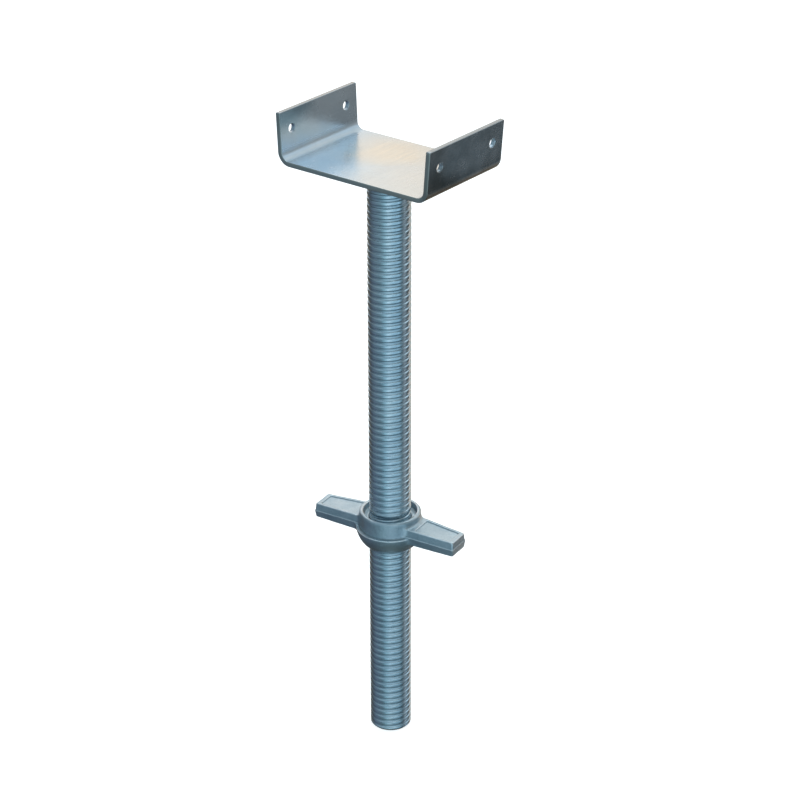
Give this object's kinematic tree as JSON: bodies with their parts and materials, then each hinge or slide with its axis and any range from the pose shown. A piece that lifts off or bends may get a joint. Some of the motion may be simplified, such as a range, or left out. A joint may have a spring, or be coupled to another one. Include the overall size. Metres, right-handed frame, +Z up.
{
  "type": "u-head screw jack",
  "caption": "Adjustable U-head jack: a folded fork head welded on a threaded spindle, with a cast wing nut that sets its height in a scaffold tube.",
  "frame": {"origin": "centre of the spindle's lower end, the end that goes into the scaffold tube", "axes": "+Z up along the spindle to the fork; X across the fork from flange to flange; Y along the channel"},
  "size_m": [0.1615, 0.1024, 0.6018],
  "materials": {
    "rolled_zinc": "rolled thread, bright zinc plating with a blue tint",
    "zinc_plate": "folded plate, bright zinc plating with a blue tint",
    "weld": "rippled fillet weld under zinc",
    "cast_zinc": "sand-cast iron, zinc plated, matt"
  },
  "bodies": {
    "jack": {"spindle": "rolled_zinc", "u_head": "zinc_plate", "weld_bead": "weld"},
    "nut": {"wing_nut": "cast_zinc"}
  },
  "joints": [
    {"name": "nut_travel", "type": "slide", "parent": "jack", "child": "nut", "axis": [0, 0, 1], "range_m": [-0.192, 0.318]}
  ]
}
